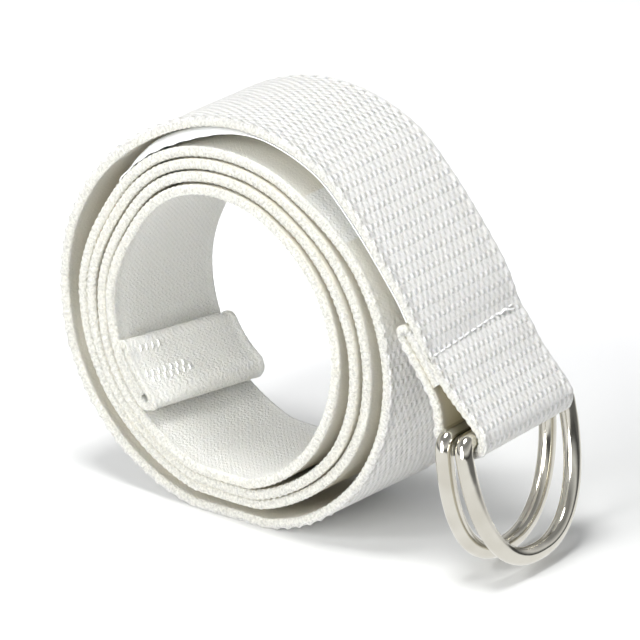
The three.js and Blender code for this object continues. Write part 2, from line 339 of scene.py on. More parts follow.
def mathNode(tree, operation, *inputs):
    # one sum, product or other operation on numbers and node outputs
    node = tree.nodes.new("ShaderNodeMath")
    node.operation = operation
    for k, value in enumerate(inputs):
        if isinstance(value, (int, float)):
            node.inputs[k].default_value = value
        else:
            tree.links.new(value, node.inputs[k])
    return node.outputs[0]


def noiseNode(tree, vector, scale, detail=2.0, roughness=0.5):
    # cloudy noise about 0.5, whose spots are about 1 / scale wide
    node = tree.nodes.new("ShaderNodeTexNoise")
    node.inputs["Scale"].default_value = scale
    node.inputs["Detail"].default_value = detail
    node.inputs["Roughness"].default_value = roughness
    tree.links.new(vector, node.inputs["Vector"])
    return node.outputs["Fac"]


def rampNode(tree, value, stops):
    # colours mixed in a straight line between stops; the first two stops are the ramp's own two
    node = tree.nodes.new("ShaderNodeValToRGB")
    ramp = node.color_ramp
    for k, (position, colour) in enumerate(stops):
        element = ramp.elements[k] if k < 2 else ramp.elements.new(position)
        element.position = position
        element.color = (*colour, 1)
    tree.links.new(value, node.inputs["Fac"])
    return node.outputs["Color"]


def scaled(tree, value, factor, plus=0.0):
    # value times factor, plus a number or another output
    return mathNode(tree, "MULTIPLY_ADD", value, factor, plus)


def waveNode(tree, value, length):
    # the cosine of a full turn for each length of value
    return mathNode(tree, "COSINE", mathNode(tree, "MULTIPLY", value, 2 * np.pi / length))


def stretched(tree, vector, scale):
    # coordinates times a scale for each axis
    node = tree.nodes.new("ShaderNodeMapping")
    node.inputs["Scale"].default_value = scale
    tree.links.new(vector, node.inputs["Vector"])
    return node.outputs["Vector"]


def between(tree, value, low, high):
    # 0 at low and 1 at high, smoothed at both
    node = tree.nodes.new("ShaderNodeMapRange")
    node.interpolation_type = "SMOOTHSTEP"
    node.inputs["From Min"].default_value = low
    node.inputs["From Max"].default_value = high
    tree.links.new(value, node.inputs["Value"])
    return node.outputs["Result"]


def mixNode(tree, share, first, second, kind, blend="MIX"):
    # first times 1 - share plus second times share, for a number or a colour; blend MULTIPLY takes their product
    node = tree.nodes.new("ShaderNodeMix")
    node.data_type = kind
    if kind == "RGBA":
        node.blend_type = blend
    sockets = {"FLOAT": (0, 2, 3, 0), "RGBA": (0, 6, 7, 2)}[kind]
    for index, value in zip(sockets, (share, first, second)):
        if isinstance(value, tuple):
            node.inputs[index].default_value = (*value, 1)
        elif isinstance(value, (int, float)):
            node.inputs[index].default_value = value
        else:
            tree.links.new(value, node.inputs[index])
    return node.outputs[sockets[3]]


def bumpNode(tree, height, distance):
    # the surface's normal, leant against the slope of height times distance
    node = tree.nodes.new("ShaderNodeBump")
    node.inputs["Distance"].default_value = distance
    tree.links.new(height, node.inputs["Height"])
    return node.outputs["Normal"]


def numberNode(tree, name):
    # what writeNumbers has left on the vertices
    node = tree.nodes.new("ShaderNodeAttribute")
    node.attribute_name = name
    return node.outputs["Fac"]


def placeNode(tree):
    # a point's own place in metres
    return tree.nodes.new("ShaderNodeTexCoord").outputs["Object"]


# The weave: ovals of warp yarn, every other row half an oval aside, on a UV map that counts millimetres
weave = {
    "bumpAcross": 1.95,
    "rowAlong": 1.8,
    "rowSkew": 0.03,
    "wander": (0.45, 0.5),  # the yarns stray by this along and across
    "lowRow": 0.3,  # every other row stands lower
    "pitDepth": 0.6,
    "lowPit": 0.6,  # the share of that between the ovals of a low row
    "fibre": 0.35,
    "fibreStretch": (0.9, 4.5, 1),
    "fuzz": 0.8,
    "relief": 0.0006,
    "oval": (0.985, 0.98, 0.955),
    "cloth": (0.82, 0.815, 0.785),
    "pit": (0.58, 0.575, 0.545),
    "rim": (0.64, 0.635, 0.60),  # the yarn's turns along the edges, darker than the faces: partly the looser yarn, partly painted shade
    "rimShades": (0.72, 1.12),
    "rimLoops": 0.15,
    "rimTufts": 2.6,
    "gapPaintedShade": (0.74, 0.645, 0.38),  # painted shade: a khaki darkening of the cloth deep in the ring loop, and by half between two laps
    "gapShare": 0.95,
    "gapSoft": 1.6,  # the weave fades to level there
    "gapLevel": 0.25,
    "insidePaintedLight": (1.08, 1.08, 1.03),  # painted light: the cloth inside the coil is made a little paler and warmer
    "calm": 0.85,  # and its weave is a faint zigzag about a level
    "calmLevel": 0.60,
    "calmFuzz": 0.5,
    "zigzagAcross": 1.35,
    "zigzagBend": 1.4,
    "bendAlong": 1.25,
    "zigzag": (0.30, 0.03),  # its height in patches, and everywhere
    "roughness": 0.75,
    "gloss": 0.35,
    "sheen": 0.3,
    "sheenRoughness": 0.45,
    "glow": 0.12,  # light that soaks through the yarn
    "glowReach": 0.002,
}


def webbingMaterial():
    # height: ovals where two cosines are high, less the pits between them, plus noise for fibres and fuzz; along
    # the edges a cosine and tufts of noise take its place; the colour follows the height, darker in the pits and
    # paler on the ovals as painted shade and light, and is then multiplied by a tint: paler and warmer where "calm"
    # says, as painted light, and khaki where "deep" says, as painted shade
    material, tree, shader = newMaterial("wovenWhite")
    uv = tree.nodes.new("ShaderNodeUVMap")
    uv.uv_map = "webbing"
    place = uv.outputs["UV"]
    split = tree.nodes.new("ShaderNodeSeparateXYZ")
    tree.links.new(place, split.inputs[0])
    stray = mathNode(tree, "SUBTRACT", noiseNode(tree, place, 0.4, 3), 0.5)
    u = scaled(tree, stray, weave["wander"][0], scaled(tree, split.outputs[1], weave["rowSkew"], split.outputs[0]))
    v = scaled(tree, stray, weave["wander"][1], split.outputs[1])
    # high rows where the rows' cosine is near 1, low ones half an oval aside where it is near -1
    rows = waveNode(tree, u, 2 * weave["rowAlong"])
    yarns = waveNode(tree, v, weave["bumpAcross"])
    high = mathNode(tree, "MULTIPLY", between(tree, rows, 0.2, 0.95), between(tree, yarns, -0.4, 0.85))
    low = mathNode(tree, "MULTIPLY", between(tree, rows, -0.2, -0.95), between(tree, yarns, 0.4, -0.85))
    # pits between the ovals of a row, where the crossing yarn lies deep
    pit = mathNode(tree, "MULTIPLY", between(tree, rows, 0.1, 1.0), between(tree, yarns, -0.3, -1.0))
    shallow = mathNode(tree, "MULTIPLY", between(tree, rows, -0.1, -1.0), between(tree, yarns, 0.3, 1.0))
    oval, pit = scaled(tree, low, weave["lowRow"], high), scaled(tree, shallow, weave["lowPit"], pit)
    relief = scaled(tree, pit, -weave["pitDepth"], oval)
    fibre = noiseNode(tree, stretched(tree, place, weave["fibreStretch"]), 1.5, 4, 0.65)
    fuzz = noiseNode(tree, place, 3.2, 5, 0.8)
    # the zigzag: a cosine across whose phase swings with another one along
    bend = waveNode(tree, u, weave["bendAlong"])
    phase = scaled(tree, bend, weave["zigzagBend"], mathNode(tree, "MULTIPLY", v, 2 * np.pi / weave["zigzagAcross"]))
    patchy = between(tree, noiseNode(tree, place, 0.8, 3, 0.7), 0.36, 0.64)
    zigzag = mathNode(tree, "MULTIPLY", mathNode(tree, "COSINE", phase), scaled(tree, patchy, *weave["zigzag"]))
    calm, deep, rim = (numberNode(tree, name) for name in ("calm", "deep", "rim"))
    relief = mixNode(tree, calm, relief, mathNode(tree, "ADD", zigzag, weave["calmLevel"]), "FLOAT")
    soft = mathNode(tree, "MULTIPLY", deep, weave["gapSoft"])
    relief = mixNode(tree, soft, relief, weave["gapLevel"], "FLOAT")
    rough = scaled(tree, calm, weave["calmFuzz"], weave["fuzz"])
    weaveHeight = scaled(tree, fibre, weave["fibre"], scaled(tree, fuzz, rough, relief))
    # along the edges the yarn turns back in soft uneven loops
    tuft = noiseNode(tree, stretched(tree, place, (1.0, 0.8, 1)), 1.5, 4, 0.7)
    loops = waveNode(tree, u, weave["rowAlong"])
    rimHeight = scaled(tree, loops, weave["rimLoops"], mathNode(tree, "MULTIPLY", tuft, weave["rimTufts"]))
    height = mixNode(tree, rim, weaveHeight, rimHeight, "FLOAT")
    # painted shade and light: the colour follows the height, darker in the pits and paler on the ovals' tops
    tone = scaled(tree, relief, 0.42, scaled(tree, fuzz, 1.1, -0.12))
    cloth = rampNode(tree, tone, [(0.0, weave["pit"]), (0.88, weave["oval"]), (0.42, weave["cloth"])])
    # the edges are coloured darker than the faces, partly as painted shade, in random tufts
    dim, bright = (tuple(share * c for c in weave["rim"]) for share in weave["rimShades"])
    edge = rampNode(tree, tuft, [(0.38, dim), (0.60, bright)])
    colour = mixNode(tree, rim, cloth, edge, "RGBA")
    # painted light: where calm says, the colour is made paler and warmer
    inside = mixNode(tree, calm, (1, 1, 1), weave["insidePaintedLight"], "RGBA")
    # painted shade: the colour is darkened towards a khaki tint as far as deep says, between laps and in the ring
    # loop
    shade = mathNode(tree, "MULTIPLY", deep, weave["gapShare"])
    tint = mixNode(tree, shade, inside, weave["gapPaintedShade"], "RGBA")
    tree.links.new(mixNode(tree, 1.0, colour, tint, "RGBA", "MULTIPLY"), shader.inputs["Base Color"])
    tree.links.new(bumpNode(tree, height, weave["relief"]), shader.inputs["Normal"])
    shader.inputs["Roughness"].default_value = weave["roughness"]
    shader.inputs["Specular IOR Level"].default_value = weave["gloss"]
    shader.inputs["Sheen Weight"].default_value = weave["sheen"]
    shader.inputs["Sheen Roughness"].default_value = weave["sheenRoughness"]
    shader.inputs["Subsurface Weight"].default_value = weave["glow"]
    shader.inputs["Subsurface Radius"].default_value = (1.0, 0.85, 0.6)
    shader.inputs["Subsurface Scale"].default_value = weave["glowReach"]
    return material


webbingWhite = webbingMaterial()


# The webbing's own surface
strapLook = {
    "rowStep": 0.0005,
    "foldStep": 0.00035,
    "foldLead": 0.004,  # the closer stations begin this far before the hem's fold
    "faceInsets": [0, 0.0007, 0.0016, 0.003, 0.008, 0.014],
    "edgeRound": 0.0007,
    "edgeSteps": 5,
    "edgeFullness": 2.6,
    "outerLapEnd": 400,  # the outer face shows up to this direction
    "loopRise": 0.00042,  # weft loops along the near edge of the outermost lap
    "farLoopShare": 0.3,
    "innerLoopRise": 0.00022,
    "loopOut": 0.00018,
    "edgeSwell": 0.00004,
    "edgeIn": 0.0006,  # the swell and the loops stand this far in, and reach this far
    "edgeReach": 0.0009,
    "grooveDepth": 0.00016,  # a shallow groove runs beside the edge
    "grooveIn": 0.0024,
    "grooveReach": 0.0007,
    "edgeWave": 0.00022,  # the near edge sways by this, as sines of (turns along, start, share)
    "waves": [(97, 1.3, 1.0), (211, 0.4, 0.6), (433, 0.0, 0.4)],
    "rimReach": 0.0005,
    "shelter": (360, 384),  # the outer face goes in under the strand between these directions
    # painted shade on the outer face under the strand, at most this share
    "shelterPaintedShade": 0.75,
    "shelterReach": 0.003,
    "gapReach": 0.0006,  # painted shade: a narrow gap grows dark within this of the edge, a wide one within more of its own width
    "gapWidths": 0.8,
    "gapDark": 0.55,
    "openEnd": 12,  # the last lap has nothing beside it for this many degrees before the hem
    # painted shade inside the ring loop grows within this of the edge
    "loopReach": 0.0015,
    "creaseBack": 0.0493,  # the sewn row, back from where the strand joins the coil
    "creaseSkew": 0.088,
    "creaseDepth": 0.0010,
    "creaseWidth": 0.007,
    "creaseBottom": 0.0004,
    "creasePower": 1.4,
}


def webSection():
    # a closed outline of the webbing, straight faces joined by full elliptic edges: across from 0 to the width,
    # depth from -1 to 1 in half thicknesses
    width, edge = belt["webWidth"], strapLook["edgeRound"]
    inset = np.array(strapLook["faceInsets"]) + edge
    face = np.concatenate([inset, width - inset[::-1]])
    turn = np.radians(np.linspace(90, -90, strapLook["edgeSteps"] + 2)[1:-1])
    full = lambda share: np.sign(share) * np.abs(share) ** (2 / strapLook["edgeFullness"])
    farEdge = np.stack([width - edge + edge * full(np.cos(turn)), full(np.sin(turn))], -1)
    across = np.concatenate([face, farEdge[:, 0], face[::-1], width - farEdge[::-1, 0]])
    depth = np.concatenate([np.ones(len(face)), farEdge[:, 1], -np.ones(len(face)), farEdge[::-1, 1]])
    return across, depth


def strapStations():
    # distances along the webbing at even steps, closer through the folds at both ends
    lead = path["hemStart"] - strapLook["foldLead"]
    start = np.arange(0, path["coilStart"], strapLook["foldStep"])
    middle = np.arange(path["coilStart"], lead, strapLook["rowStep"])
    finish = np.linspace(lead, webLength, int((webLength - path["hemStart"]) / strapLook["foldStep"]))
    return np.unique(np.round(np.concatenate([start, middle, finish]), 7))


def gapBeside(angle, inwards):
    # free room beside a lap: its share of a thickness, or a metre where no lap lies on that side
    beyond = angle + np.where(inwards, 360, 0)
    share = smoothThrough(gapShares, (beyond - 360 - lapStart) / lapStep)
    nothing = (beyond > belt["hemTurn"] - strapLook["openEnd"]) | ((beyond < lapStart + 360) & ~inwards)
    return np.where(nothing, 1.0, belt["webThickness"] * share)


def creaseLine(across):
    # where the sewn row crosses: straight, and a little askew
    return path["coilStart"] - strapLook["creaseBack"] + strapLook["creaseSkew"] * (across - belt["webWidth"] / 2)


def creaseDip(along, across):
    # a valley with nearly straight sides, as a power of 1 - distance / width, its bottom rounded
    off = np.sqrt((along - creaseLine(across)) ** 2 + strapLook["creaseBottom"] ** 2)
    rest = np.clip(1 - off / strapLook["creaseWidth"], 0, 1)
    return strapLook["creaseDepth"] * rest ** strapLook["creasePower"]


def hump(value, middle, reach):
    # e to the minus square of the distance from middle, in reaches
    return np.exp(-(((value - middle) / reach) ** 2))


def darkness(fromEdge, reach):
    # 0 at the edge, nearer to 1 the deeper in: 1 less e to the minus depth over reach
    return 1 - np.exp(-np.clip(fromEdge, 0, 1) / reach)


def edgeLoops(s, side, outside):
    # the yarn's turns: narrow humps one row apart on the outer face of the outermost lap, on the others a plain
    # cosine whose phase strays
    row = weave["rowAlong"] * 0.001
    wide = np.clip(np.cos(np.pi * s / row), 0, 1) ** 1.5
    close = 0.5 + 0.5 * np.cos(2 * np.pi * s / row + 1.5 * np.sin(s * 310) + 2.0 * (side > 0))
    return np.where(outside, wide, close)


def shadeNumbers(s, y, side, angle, outside):
    # how far each point is rim, deep in a gap, and sheltered inside the coil, each from 0 to 1; the depth carries
    # painted shade, the shelter painted light and a fainter weave
    fromEdge = np.minimum(y, belt["webWidth"] - y)
    rim = 1 - smoothStep(fromEdge, 0.5 * strapLook["rimReach"], 1.3 * strapLook["rimReach"])
    deep = darkness(fromEdge, strapLook["gapReach"] + strapLook["gapWidths"] * gapBeside(angle, side > 0))
    # the part of the outer face that lies under the strand is sheltered like a gap, with painted shade
    shelter = np.where(outside, smoothStep(angle, *strapLook["shelter"]), 1)
    under = strapLook["shelterPaintedShade"] * shelter * darkness(fromEdge, strapLook["shelterReach"])
    deep = np.where(outside, np.maximum(deep, under), deep)
    # painted shade: full inside the ring loop, elsewhere at gapDark's share
    inLoop = (side > 0) & (s < strapLook["creaseBack"])
    deep = np.where(inLoop, darkness(fromEdge, strapLook["loopReach"]), strapLook["gapDark"] * deep)
    return rim, deep, shelter


def webUv(along, across, side, quads):
    # millimetres along the webbing and around its section, one more column standing for the first where a face
    # closes the section; then the two end faces by width and depth
    columns = len(across)
    half = belt["webThickness"] / 2
    around = np.concatenate([[0], np.cumsum(np.hypot(np.diff(across), np.diff(side) * half))])
    around = np.append(around, around[-1] + np.hypot(across[0] - across[-1], (side[0] - side[-1]) * half))
    column = quads % columns
    wraps = (column.max(1) == columns - 1) & (column.min(1) == 0)
    column = np.where(wraps[:, None] & (column == 0), columns, column)
    sides = np.stack([along[quads // columns], around[column]], -1).reshape(-1, 2)
    return np.vstack([sides, np.tile(np.stack([across, side * half], -1), (2, 1))]) * 1000


def makeStrap():
    # the section carried along the belt's path: its depth swells at both edges by a hump, and by the yarn's loops,
    # less a groove beside them; three sines sway it sideways; the crease lifts the outer face inwards
    along = strapStations()
    across, side = webSection()
    width, half = belt["webWidth"], belt["webThickness"] / 2
    s, y = np.meshgrid(along, across, indexing="ij")
    d = np.broadcast_to(side, s.shape)
    angle = onPath("angle", s)
    outside = (d < 0) & (angle < strapLook["outerLapEnd"])  # normals point to the axis: outwards is negative
    loop = edgeLoops(s, d, outside)
    rise = np.where(outside, strapLook["loopRise"], strapLook["innerLoopRise"])
    nearEdge = hump(y, strapLook["edgeIn"], strapLook["edgeReach"])
    farEdge = strapLook["farLoopShare"] * hump(width - y, strapLook["edgeIn"], strapLook["edgeReach"])
    groove = sum(hump(off, strapLook["grooveIn"], strapLook["grooveReach"]) for off in (y, width - y))
    depth = d * (half + (strapLook["edgeSwell"] + rise * loop) * (nearEdge + farEdge) * np.abs(d))
    depth = depth - d * strapLook["grooveDepth"] * groove
    wave = sum(share * np.sin(s * rate + start) for rate, start, share in strapLook["waves"])
    sway = 0.5 * strapLook["edgeWave"] * wave * (1 - y / width)
    y = y + sway + strapLook["loopOut"] * (loop - 0.5) * (farEdge - nearEdge)
    depth = depth + np.where(d < 0, creaseDip(s, y), 0)
    vertices = placeOnBelt(s, y, depth)
    vertices[..., 2] = np.maximum(vertices[..., 2], 0)  # the bumps are pressed flat where the coil stands
    vertices = vertices.reshape(-1, 3)
    quads = outwardFaces(vertices, gridFaces(*s.shape))
    faces = quads.tolist() + endCaps(quads, *s.shape)
    strap = newPiece("webbing", vertices, faces, "belt", webbingWhite)
    rim, deep, shelter = shadeNumbers(s, y, d, angle, outside)
    writeUv(strap, "webbing", webUv(along, across, side, quads))
    # masks for the material: the edges, painted shade by deep, and painted light with a fainter weave by calm
    writeNumbers(strap, "rim", rim)
    writeNumbers(strap, "deep", deep)
    writeNumbers(strap, "calm", shelter * weave["calm"])
    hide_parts("strap")
    return strap


strap = makeStrap()
print("webbing rolled,", len(strap.data.polygons), "faces")


# The thin smooth strip between the outermost lap and the next
liner = {
    "first": 14,  # it lies between these directions
    "last": 140,
    "width": 0.030,
    "inset": 0.0004,
    "thickness": 0.0006,
    "leanFrom": 78,  # the near edge lies on the outer lap before this direction and on the inner one after leanTo
    "leanTo": 122,
    "leaveFrom": 120,  # the strip's body leaves the outer lap for the inner one between these
    "leaveTo": 142,
    "rows": 180,
    "columns": 26,
    "crease": 0.00012,
    "steepness": 20,
    "clouds": [(0.35, (0.66, 0.68, 0.70)), (0.65, (0.78, 0.79, 0.79))],
    "ripple": 0.00012,
    "roughness": 0.38,
    "coat": 0.25,
}


def filmMaterial():
    # a noise picks the colour between two clouds, a finer one lifts the surface
    material, tree, shader = newMaterial("smoothFilm")
    place = placeNode(tree)
    tree.links.new(rampNode(tree, noiseNode(tree, place, 90, 3), liner["clouds"]), shader.inputs["Base Color"])
    tree.links.new(bumpNode(tree, noiseNode(tree, place, 240, 2), liner["ripple"]), shader.inputs["Normal"])
    shader.inputs["Roughness"].default_value = liner["roughness"]
    shader.inputs["Coat Weight"].default_value = liner["coat"]
    return material


def makeLiner():
    # between the two laps at each direction: off the outer one by droop times the room, where the near edge and the
    # body droop from 0 to 1 in their own ranges and a power of 1 - v leads from one to the other; a sine creases it
    direction = np.linspace(liner["last"], liner["first"], liner["rows"])
    strandPoints = np.vstack([outerStrand(), polar(lapRadius(60.0), 60.0)])
    strandAngle = np.degrees(np.arctan2(strandPoints[:, 1], strandPoints[:, 0]))
    strandReach = np.interp(direction, strandAngle, np.linalg.norm(strandPoints, axis=1))
    outer = np.where(direction >= lapStart, lapRadius(direction), strandReach)
    seat = belt["webThickness"] / 2 + belt["layerGap"] + liner["thickness"] / 2
    top, bottom = outer - seat, lapRadius(direction + 360) + seat
    lean = smoothStep(direction, liner["leanFrom"], liner["leanTo"])
    v = np.linspace(0, 1, liner["columns"]) ** 2
    v = np.concatenate([v, v[::-1]])
    face = np.concatenate([np.full(liner["columns"], 0.5), np.full(liner["columns"], -0.5)])
    body = smoothStep(direction, liner["leaveFrom"], liner["leaveTo"])[:, None]
    droop = body + (lean[:, None] - body) * (1 - v[None, :]) ** liner["steepness"]
    crease = liner["crease"] * np.sin(direction[:, None] * 0.9 + 3 * v[None, :]) * droop * (1 - v[None, :])
    radius = top[:, None] + (bottom - top)[:, None] * droop + face * liner["thickness"] * 0.5 - crease
    flat = polar(radius, np.broadcast_to(direction[:, None], radius.shape))
    y = liner["inset"] + v * liner["width"] + 0 * radius
    slew = 1 - smoothStep(direction, belt["slewFull"], belt["slewFrom"])
    x = flat[..., 0] - slew[:, None] * belt["farSideIn"] * y / belt["webWidth"]
    vertices = np.stack([x + belt["axisX"], y + belt["edgeY"], flat[..., 1] + belt["axisZ"]], -1)
    vertices = vertices.reshape(-1, 3)
    quads = outwardFaces(vertices, gridFaces(*radius.shape))
    faces = quads.tolist() + endCaps(quads, *radius.shape)
    piece = newPiece("film", vertices, faces, "belt", filmMaterial())
    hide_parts("liner_strip")
    return piece


makeLiner()
print("strip laid in")


# The D-rings: round nickel-plated wire, a straight bar and a deep bow
rings = {
    "drop": 0.033,
    "corner": 0.0032,
    "fullness": 2.3,
    "sideGap": 0.0006,
    "frontLean": 12,
    "backLean": 5,
    "around": 28,
    "along": 260,
    "bowSteps": 120,
    "clouds": [(0.3, (0.66, 0.635, 0.56)), (0.7, (0.74, 0.72, 0.65))],
    "roughness": (0.07, 0.17),
    "ripple": 0.00006,
}


def nickelMaterial():
    # metal whose colour and roughness each follow a noise between two values, with a fine ripple drawn out upwards
    material, tree, shader = newMaterial("nickelPlate")
    place = placeNode(tree)
    tree.links.new(rampNode(tree, noiseNode(tree, place, 140, 3), rings["clouds"]), shader.inputs["Base Color"])
    rough = tree.nodes.new("ShaderNodeMapRange")
    rough.inputs["To Min"].default_value, rough.inputs["To Max"].default_value = rings["roughness"]
    tree.links.new(noiseNode(tree, place, 420, 4), rough.inputs["Value"])
    tree.links.new(rough.outputs["Result"], shader.inputs["Roughness"])
    ripple = noiseNode(tree, stretched(tree, place, (1, 1, 0.4)), 300, 2)
    tree.links.new(bumpNode(tree, ripple, rings["ripple"]), shader.inputs["Normal"])
    shader.inputs["Metallic"].default_value = 1.0
    return material


nickel = nickelMaterial()


def ringLine():
    # bar along the top, tight round corners, and a bow whose outline is a full ellipse, at even steps; (across, up)
    half = belt["webWidth"] / 2 + rings["sideGap"] + belt["wire"] / 2
    corner = rings["corner"]
    bar = np.stack([np.linspace(-half + corner, half - corner, 24)[:-1], np.zeros(23)], -1)
    right = arc((half - corner, -corner), corner, 90, 0, 14)
    sweep = np.radians(-180 * np.arange(1, rings["bowSteps"]) / rings["bowSteps"])
    full = lambda share: np.sign(share) * np.abs(share) ** (2 / rings["fullness"])
    bow = np.stack([half * full(np.cos(sweep)), (rings["drop"] - corner) * full(np.sin(sweep)) - corner], -1)
    left = arc((-half + corner, -corner), corner, 180, 90, 14)[:-1]
    line = np.vstack([bar, right, bow, left])
    closed = np.vstack([line, line[:1]])
    along = np.concatenate([[0], np.cumsum(np.linalg.norm(np.diff(closed, axis=0), axis=1))])
    even = np.linspace(0, along[-1], rings["along"] + 1)[:-1]
    return np.stack([np.interp(even, along, closed[:, k]) for k in (0, 1)], -1)


def makeRing(name, bar, lean, body, node):
    # a circle of the wire's radius carried round the ring's line, leant about its bar and slewed with the loop
    line = ringLine()
    tangent = np.roll(line, -1, 0) - np.roll(line, 1, 0)
    tangent /= np.linalg.norm(tangent, axis=1)[:, None]
    outward = np.stack([-tangent[:, 1], tangent[:, 0]], -1)
    turn = np.linspace(0, 2 * np.pi, rings["around"], endpoint=False)
    radius = belt["wire"] / 2
    flat = line[:, None, :] + outward[:, None, :] * np.cos(turn)[None, :, None] * radius
    x = np.broadcast_to(-np.sin(turn) * radius, flat.shape[:2])
    across, up = flat[..., 0], flat[..., 1]
    a = np.radians(lean)
    x, up = x * np.cos(a) - up * np.sin(a), x * np.sin(a) + up * np.cos(a)
    slew = np.arctan2(belt["farSideIn"], belt["webWidth"])
    x, across = x * np.cos(slew) - across * np.sin(slew), x * np.sin(slew) + across * np.cos(slew)
    middle = (belt["webWidth"] / 2 + belt["edgeY"], bar[1] + belt["axisZ"])
    centre = (bar[0] - belt["farSideIn"] / 2 + belt["axisX"], *middle)
    vertices = (np.stack([x, across, up], -1) + centre).reshape(-1, 3)
    quads = outwardFaces(vertices, gridFaces(*flat.shape[:2], roundRows=True))
    ring = newPiece(name, vertices, quads.tolist(), body, nickel)
    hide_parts(node)
    return ring


makeRing("ringFront", barFront, rings["frontLean"], "front_ring", "ring_front")
makeRing("ringBack", barBack, rings["backLean"], "back_ring", "ring_back")
print("rings hung")


# Sewing thread
thread = {
    "radius": 0.00024,
    "twist": [(0.35, (0.80, 0.80, 0.79)), (0.6, (0.95, 0.95, 0.94))],
    "ridge": 0.00008,
    # each row of the hem: how far back from its fold, and from where to where across
    "hemRows": [(0.0030, 0.0040, 0.0165), (0.0046, 0.0030, 0.0150), (0.0108, 0.0045, 0.0115)],
    "hemPitch": 0.0019,
    "hemStitch": 0.0015,
    "hemSlant": 0.0004,
    "hemRadius": 0.00028,
    "hemLift": (0.00014, 0.0003),  # off the cloth, and the arch above that
    "rowPitch": 0.0026,  # the row across the strand
    "rowStitch": 0.0021,
    "rowLift": (0.00008, 0.00018),
    "looseEnd": (0.0285, 0.0345),
    "looseSway": 0.0007,
}


def threadMaterial():
    # one fine noise gives both the colour between two tones and the ridges of the twist
    material, tree, shader = newMaterial("sewingThread")
    twist = noiseNode(tree, placeNode(tree), 2600, 2)
    tree.links.new(rampNode(tree, twist, thread["twist"]), shader.inputs["Base Color"])
    tree.links.new(bumpNode(tree, twist, thread["ridge"]), shader.inputs["Normal"])
    shader.inputs["Roughness"].default_value = 0.35
    shader.inputs["Sheen Weight"].default_value = 0.4
    return material


threadWhite = threadMaterial()


def ringAround(side, up, count):
    # unit circles in the planes of side and up: the cosine times side plus the sine times up
    turn = np.linspace(0, 2 * np.pi, count, endpoint=False)[:, None]
    return np.cos(turn) * side[..., None, :] + np.sin(turn) * up[..., None, :]


def stitchShells(starts, ends, lift, radius):
    # each stitch is a half-sunk thread from start to end: a circle carried along an arch that rises by lift
    t = np.linspace(0, 1, 7)
    run = ends - starts
    long = run / np.linalg.norm(run, axis=1)[:, None]
    side = np.cross(long, lift)
    side /= np.linalg.norm(side, axis=1)[:, None]
    up = np.cross(side, long)
    arch = np.sin(np.pi * t)
    centre = starts[:, None, :] + run[:, None, :] * t[None, :, None] + lift[:, None, :] * (arch[None, :, None] - 0.4)
    swell = radius * (0.45 + 0.55 * np.sqrt(np.clip(arch, 0, 1)))
    circle = ringAround(side, up, 6)
    vertices = centre[:, :, None, :] + circle[:, None] * swell[None, :, None, None]
    count, rows, columns = vertices.shape[:3]
    flat = vertices.reshape(count, -1, 3)
    one = outwardFaces(flat[0], gridFaces(rows, columns))
    offset = (np.arange(count) * rows * columns)[:, None, None]
    quads = (one[None] + offset).reshape(-1, 4).tolist()
    caps = (np.array(endCaps(one, rows, columns))[None] + offset).reshape(-1, columns).tolist()
    return flat.reshape(-1, 3), quads + caps


def stitchesOnBelt(alongA, acrossA, alongB, acrossB, depth, rise):
    # stitches between pairs of places on the webbing, at a depth off its middle, arched away from it by rise
    starts, ends = placeOnBelt(alongA, acrossA, depth), placeOnBelt(alongB, acrossB, depth)
    midAlong, midAcross = (alongA + alongB) / 2, (acrossA + acrossB) / 2
    lift = placeOnBelt(midAlong, midAcross, depth + np.sign(depth) * rise) - placeOnBelt(midAlong, midAcross, depth)
    return starts, ends, lift


def sewHem():
    # rows of short stitches on the hem's inner face, each stitch along the belt
    inner = path["hemStart"] + np.pi * pitch  # half a turn of the fold past the coil's end
    across = [np.arange(low, high, thread["hemPitch"]) for _, low, high in thread["hemRows"]]
    middle = np.concatenate([np.full(len(a), inner + row[0]) for row, a in zip(thread["hemRows"], across)])
    across = np.concatenate(across)
    half = thread["hemStitch"] / 2
    off, rise = thread["hemLift"]
    face = np.full(len(across), -(belt["webThickness"] / 2 + off))
    places = (middle - half, across, middle + half, across + thread["hemSlant"])
    vertices, faces = stitchShells(*stitchesOnBelt(*places, face, rise), thread["hemRadius"])
    return newPiece("hemThread", vertices, faces, "belt", threadWhite)


def sewStrand():
    # one row across the strand at the bottom of its crease, on the outer face
    start = np.arange(0.0016, belt["webWidth"] - 0.003, thread["rowPitch"])
    stop = start + thread["rowStitch"]
    off, rise = thread["rowLift"]
    depth = -(belt["webThickness"] / 2 - creaseDip(creaseLine(start), start) + off)
    places = (creaseLine(start), start, creaseLine(stop), stop)
    vertices, faces = stitchShells(*stitchesOnBelt(*places, depth, rise), thread["radius"])
    return newPiece("rowThread", vertices, faces, "belt", threadWhite)


def looseThread():
    # the last stitch's end lies loose on the webbing: a thread carried along a wavy line on the face
    low, high = thread["looseEnd"]
    t = np.linspace(0, 1, 28)
    across = low + (high - low) * t
    along = creaseLine(across) - 0.0004 + thread["looseSway"] * np.sin(5.5 * t) * t
    half = belt["webThickness"] / 2
    depth = -(half - creaseDip(along, across) + thread["radius"] + 0.0003 * np.sin(np.pi * t) ** 2)
    line = placeOnBelt(along, across, depth)
    run = np.gradient(line, axis=0)
    run /= np.linalg.norm(run, axis=1)[:, None]
    side = np.cross(run, (0.0, 1.0, 0.2))
    side /= np.linalg.norm(side, axis=1)[:, None]
    circle = ringAround(side, np.cross(side, run), 8)
    ends = np.clip(np.minimum(t, 1 - t) * 14, 0.15, 1)
    vertices = line[:, None, :] + circle * (thread["radius"] * ends)[:, None, None]
    rows, columns = vertices.shape[:2]
    vertices = vertices.reshape(-1, 3)
    quads = outwardFaces(vertices, gridFaces(rows, columns))
    faces = quads.tolist() + endCaps(quads, rows, columns)
    return newPiece("looseThread", vertices, faces, "belt", threadWhite)


sewHem()
sewStrand()
looseThread()
print("hem and strand sewn")


